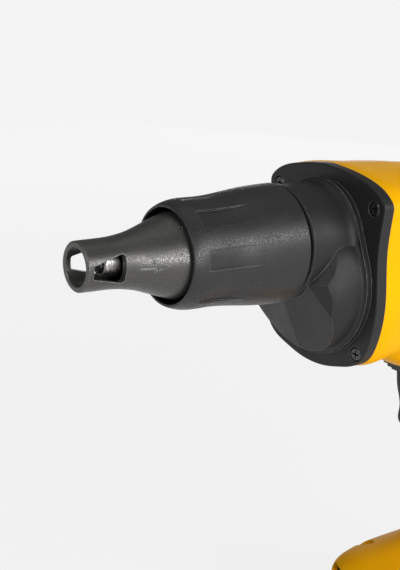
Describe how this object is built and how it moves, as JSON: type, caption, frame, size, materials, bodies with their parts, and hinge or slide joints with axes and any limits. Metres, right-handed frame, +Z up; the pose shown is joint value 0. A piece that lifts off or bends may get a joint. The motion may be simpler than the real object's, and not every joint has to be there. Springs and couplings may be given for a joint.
{
  "type": "drywall screwdriver",
  "caption": "Pistol-grip battery screwdriver for drywall with a conical nose, a ribbed depth collar, a dark gear case, a yellow body and a slide-on battery.",
  "frame": {"origin": "middle of the battery pack's flat underside", "axes": "+X along the spindle in the driving direction, +Y to the left side, +Z up"},
  "size_m": [0.272, 0.0866, 0.2631],
  "materials": {
    "yellow_plastic": "satin moulded",
    "black_plastic": "fine matte grain",
    "case_plastic": "fine matte grain",
    "pack_plastic": "matte",
    "grip_rubber": "soft matte",
    "seal_rubber": "smooth",
    "steel": "ground",
    "dark_steel": "black oxide",
    "lamination_steel": "stacked sheet",
    "bronze": "sintered",
    "copper": "enamelled wire",
    "contact_metal": "tin flashed",
    "aluminium": "die cast",
    "magnet": "nickel plated",
    "insulator_plastic": "natural",
    "board": "coated board",
    "lead_sheath": "smooth",
    "cell_wrap": "sleeved metal can"
  },
  "bodies": {
    "tool_body": {"collar_ring": "steel", "gear_case": "case_plastic", "case_screws": "dark_steel", "spindle_bush": "bronze", "spindle_seal": "seal_rubber", "clutch_spring": "steel", "gear_bearing": "steel", "bearing_plate": "aluminium", "front_bearing": "steel", "rear_bearing": "steel", "stator_core": "lamination_steel", "windings": "copper", "front_insulator": "insulator_plastic", "rear_insulator": "insulator_plastic", "sensor_board": "board", "control_module": "aluminium", "control_board": "board", "motor_leads": "lead_sheath", "battery_leads": "lead_sheath", "housing_left": "yellow_plastic", "housing_right": "yellow_plastic", "housing_screws": "dark_steel", "grip_left": "grip_rubber", "grip_right": "grip_rubber", "trigger_spring": "steel", "switch_module": "black_plastic", "terminal_block": "black_plastic", "terminal_blades": "contact_metal", "belt_hook": "dark_steel", "hook_screw": "steel"},
    "depth_collar": {"depth_collar": "case_plastic"},
    "adjuster": {"adjuster_sleeve": "black_plastic", "nose_ring": "seal_rubber"},
    "nose": {"nose_cone": "case_plastic"},
    "thrust": {"thrust_washer": "steel"},
    "spindle": {"spindle": "steel", "bit_holder": "steel", "bit_magnet": "magnet", "screw_bit": "dark_steel"},
    "drive_gear": {"drive_gear": "steel"},
    "rotor": {"motor_shaft": "steel", "rotor_core": "lamination_steel", "rotor_magnets": "magnet", "fan": "black_plastic"},
    "trigger": {"trigger": "black_plastic"},
    "reversing_lever": {"reversing_lever": "black_plastic"},
    "lock_button": {"lock_button": "black_plastic"},
    "battery": {"pack_top": "pack_plastic", "pack_tray": "pack_plastic", "pack_cells": "cell_wrap", "cell_holders": "insulator_plastic", "cell_links": "contact_metal", "pack_board": "board", "pack_contacts": "contact_metal", "pack_screws": "dark_steel", "latch_spring": "steel"},
    "latch": {"latch_button": "black_plastic"}
  },
  "joints": [
    {"name": "collar_turn", "type": "hinge", "parent": "tool_body", "child": "depth_collar", "pos_m": [0.143, 0, 0.232], "axis": [1, 0, 0], "range_deg": [-270, 270]},
    {"name": "adjuster_slide", "type": "slide", "parent": "tool_body", "child": "adjuster", "axis": [1, 0, 0], "range_m": [-0.003, 0.003]},
    {"name": "nose_pull", "type": "slide", "parent": "adjuster", "child": "nose", "axis": [1, 0, 0], "range_m": [0, 0.06]},
    {"name": "spindle_push", "type": "slide", "parent": "tool_body", "child": "thrust", "axis": [-1, 0, 0], "range_m": [0, 0.0029], "stiffness_N_per_m": 3000, "springref_m": -0.002, "deforming": ["clutch_spring"]},
    {"name": "spindle_spin", "type": "hinge", "parent": "thrust", "child": "spindle", "pos_m": [0.143, 0, 0.232], "axis": [1, 0, 0], "continuous": true},
    {"name": "drive_gear_spin", "type": "hinge", "parent": "tool_body", "child": "drive_gear", "pos_m": [0.102, 0, 0.232], "axis": [1, 0, 0], "continuous": true},
    {"name": "rotor_spin", "type": "hinge", "parent": "tool_body", "child": "rotor", "pos_m": [0.044, 0, 0.21475], "axis": [1, 0, 0], "continuous": true},
    {"name": "trigger_squeeze", "type": "slide", "parent": "tool_body", "child": "trigger", "axis": [-1, 0, 0], "range_m": [0, 0.0065], "stiffness_N_per_m": 800, "springref_m": -0.005, "deforming": ["trigger_spring"]},
    {"name": "reversing_swing", "type": "hinge", "parent": "tool_body", "child": "reversing_lever", "pos_m": [-0.0015, 0, 0.163], "axis": [0, 0, 1], "range_deg": [-6, 6]},
    {"name": "lock_press", "type": "slide", "parent": "tool_body", "child": "lock_button", "axis": [0, -1, 0], "range_m": [0, 0.0025], "stiffness_N_per_m": 600, "springref_m": -0.003},
    {"name": "battery_slide", "type": "slide", "parent": "tool_body", "child": "battery", "axis": [1, 0, 0], "range_m": [0, 0.08]},
    {"name": "latch_press", "type": "slide", "parent": "battery", "child": "latch", "axis": [0, 0, -1], "range_m": [0, 0.004], "stiffness_N_per_m": 500, "springref_m": -0.004, "deforming": ["latch_spring"]}
  ],
  "couplings": [
    {"joint": "adjuster_slide", "follows": "collar_turn", "m_per_rad": 0.000636},
    {"joint": "drive_gear_spin", "follows": "rotor_spin", "ratio": -0.27778},
    {"joint": "spindle_spin", "follows": "rotor_spin", "ratio": -0.27778}
  ]
}
